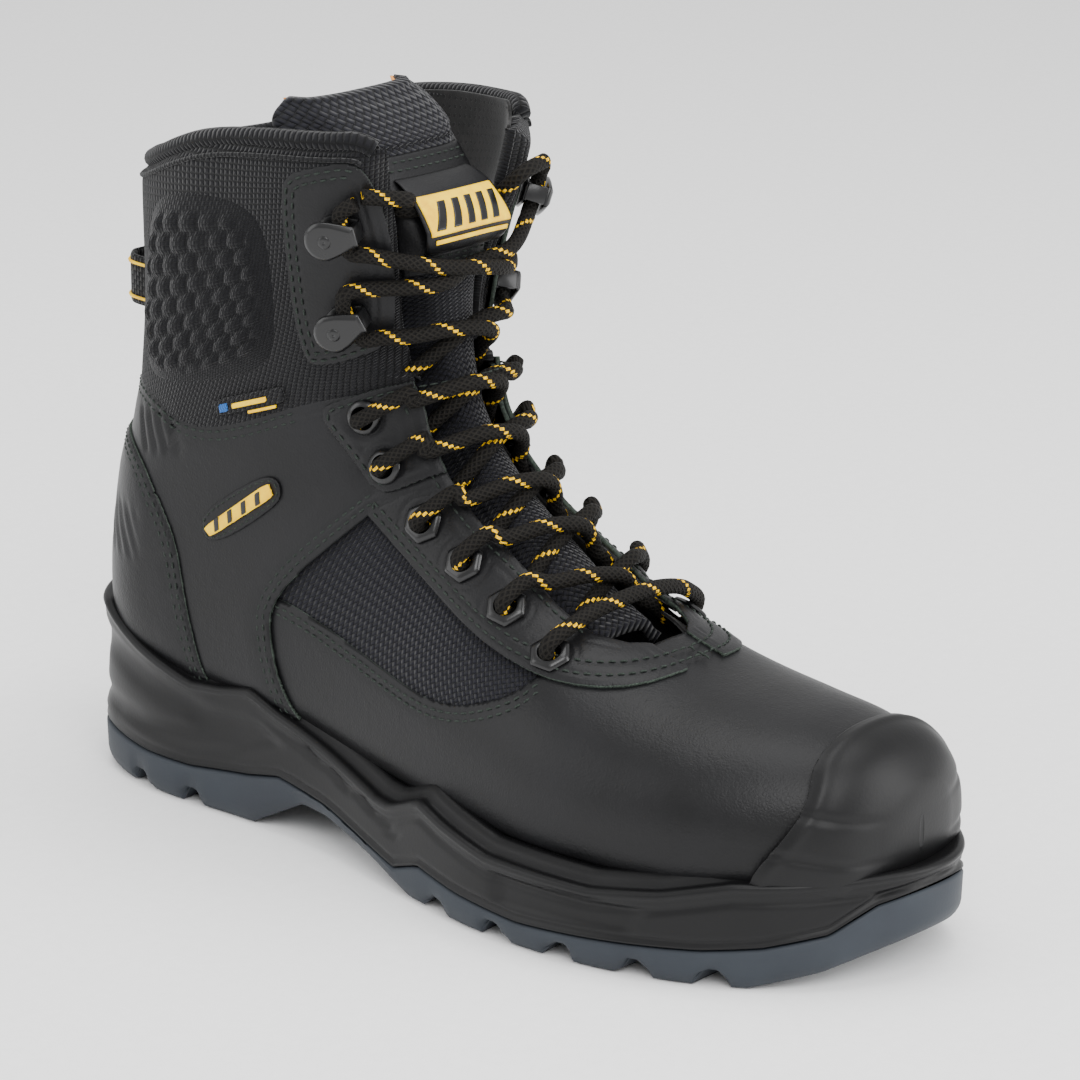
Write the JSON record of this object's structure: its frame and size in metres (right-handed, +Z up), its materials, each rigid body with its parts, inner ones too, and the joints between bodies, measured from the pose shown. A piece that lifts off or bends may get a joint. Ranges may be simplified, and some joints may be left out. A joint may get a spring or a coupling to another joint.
{
  "type": "safety boot",
  "caption": "High lace-up steel toe work boot with a padded collar, leather and textile upper, injected two-part sole, toe bumper, lacing hooks and a rear pull loop.",
  "frame": {"origin": "centre of the bounding box in plan, on the plane that the tread stands on", "axes": "+X to the toe, +Y to the inner (medial) side of the foot, +Z up the shaft"},
  "size_m": [0.318, 0.1162, 0.2289],
  "materials": {
    "outsole": "moulded grey rubber, fine texture",
    "midsole": "moulded black polyurethane, satin",
    "leather": "smooth black leather, semi matt",
    "woven_nylon": "black woven nylon",
    "collar_textile": "black padded textile",
    "lining": "dark lining mesh",
    "orange_lining": "orange lining mesh",
    "footbed": "textile covered foam",
    "insole_board": "lasting board",
    "stiffener": "thermoplastic sheet",
    "steel": "pressed steel",
    "black_metal": "black coated metal",
    "lace": "round braided polyester, black with yellow flecks",
    "aglet": "black plastic",
    "webbing": "woven webbing",
    "badge": "yellow moulded badge",
    "tag": "blue woven tag"
  },
  "bodies": {
    "boot": {"ankle_pad_inner": "collar_textile", "ankle_pad_outer": "collar_textile", "bootie_lining": "lining", "collar_inner": "collar_textile", "collar_outer": "collar_textile", "eyestay": "leather", "heel_counter": "stiffener", "heel_patch": "leather", "hex_eyelet_1_inner": "black_metal", "hex_eyelet_1_outer": "black_metal", "hex_eyelet_2_inner": "black_metal", "hex_eyelet_2_outer": "black_metal", "hex_eyelet_3_inner": "black_metal", "hex_eyelet_3_outer": "black_metal", "hex_eyelet_4_inner": "black_metal", "hex_eyelet_4_outer": "black_metal", "hook_1_inner": "black_metal", "hook_1_outer": "black_metal", "hook_2_inner": "black_metal", "hook_2_outer": "black_metal", "hook_panel_inner": "leather", "hook_panel_outer": "leather", "insole_board": "insole_board", "lace": "lace", "lace_end_inner": "lace", "lace_end_outer": "lace", "midsole": "midsole", "outsole": "outsole", "pull_loop": "webbing", "puncture_plate": "steel", "quarter_inner": "leather", "quarter_outer": "leather", "round_eyelet_5_inner": "black_metal", "round_eyelet_5_outer": "black_metal", "round_eyelet_6_inner": "black_metal", "round_eyelet_6_outer": "black_metal", "side_badge": "badge", "side_tag": "tag", "steel_toe_cap": "steel", "textile_panel_inner": "woven_nylon", "textile_panel_outer": "woven_nylon", "toe_cap_edge_strip": "stiffener", "upper_eyelet_panel_inner": "leather", "upper_eyelet_panel_outer": "leather", "vamp": "leather"},
    "footbed": {"footbed": "footbed"},
    "tongue": {"tongue_body": "woven_nylon", "tongue_top_pad": "woven_nylon", "tongue_lining": "orange_lining", "tongue_patch": "leather", "tongue_label": "leather", "aglet_outer": "aglet", "aglet_inner": "aglet"}
  },
  "joints": [
    {"name": "footbed_lift", "type": "hinge", "parent": "boot", "child": "footbed", "pos_m": [0.13, 0.00225, 0.033], "axis": [0, 1, 0], "range_deg": [0, 8]},
    {"name": "tongue_tilt", "type": "hinge", "parent": "boot", "child": "tongue", "pos_m": [0.053, 0.00225, 0.086], "axis": [0, 1, 0], "range_deg": [-5, 0], "deforming": ["lace_end_outer", "lace_end_inner"]}
  ]
}
